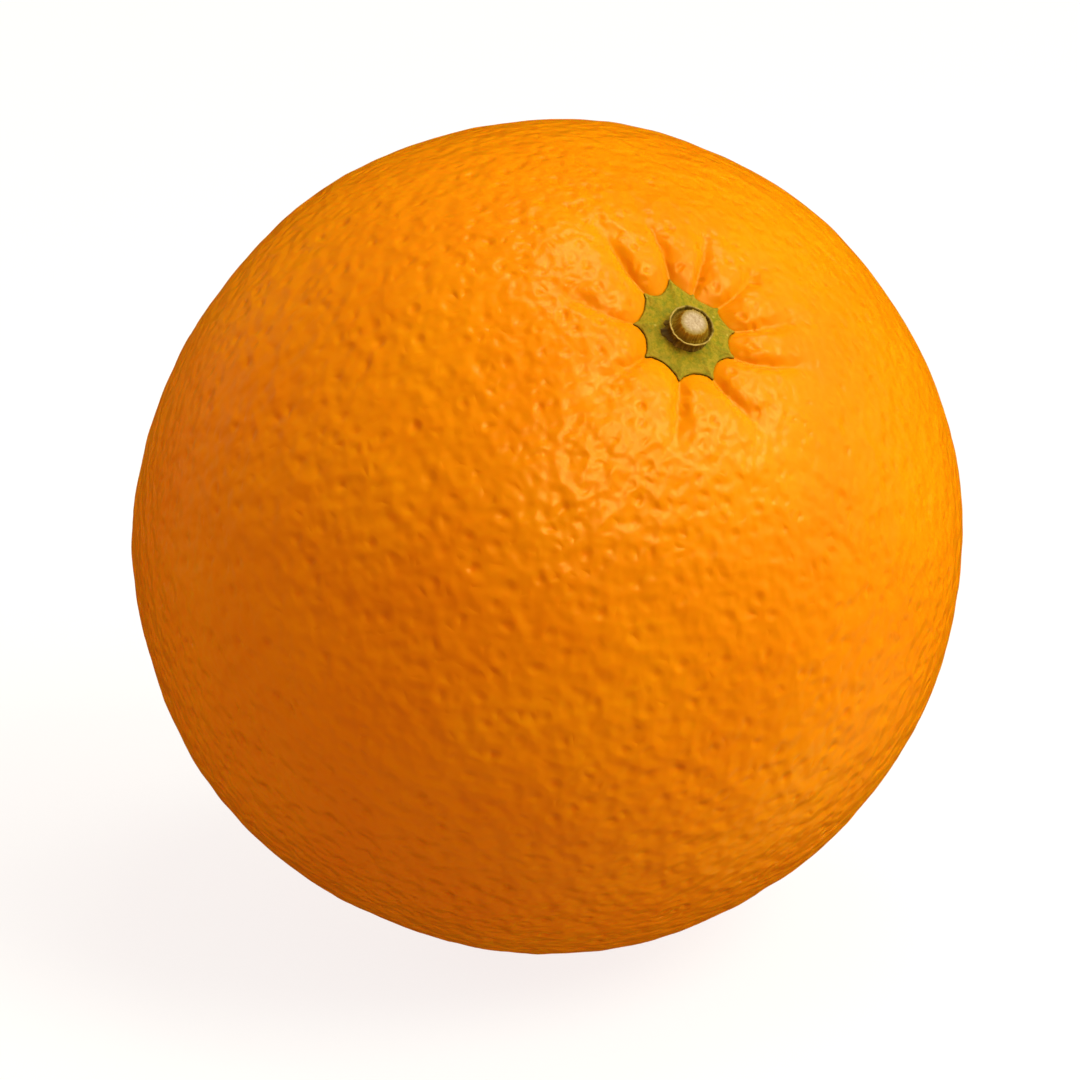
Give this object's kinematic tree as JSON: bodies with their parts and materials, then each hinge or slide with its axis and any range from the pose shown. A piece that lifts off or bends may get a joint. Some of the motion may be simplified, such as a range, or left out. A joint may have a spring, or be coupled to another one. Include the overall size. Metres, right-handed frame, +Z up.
{
  "type": "orange",
  "caption": "Whole fresh orange with pored rind, a furrowed stem end, a green star calyx and a short cut stem, resting on a small flat spot.",
  "frame": {"origin": "on the table, in the middle of the flat spot that the fruit rests on, below the fruit's middle", "axes": "+Z up; the stem leans 43 degrees from upright, forwards (-Y) and to the right (+X)"},
  "size_m": [0.08, 0.0808, 0.0803],
  "materials": {
    "orange_rind": "satin",
    "green_calyx": "matte",
    "stem_bark": "matte",
    "cut_stem": "matte"
  },
  "bodies": {
    "root": {"fruit": "orange_rind", "calyx": "green_calyx", "stem_collar": "stem_bark", "stem_stub": "cut_stem"}
  },
  "joints": []
}
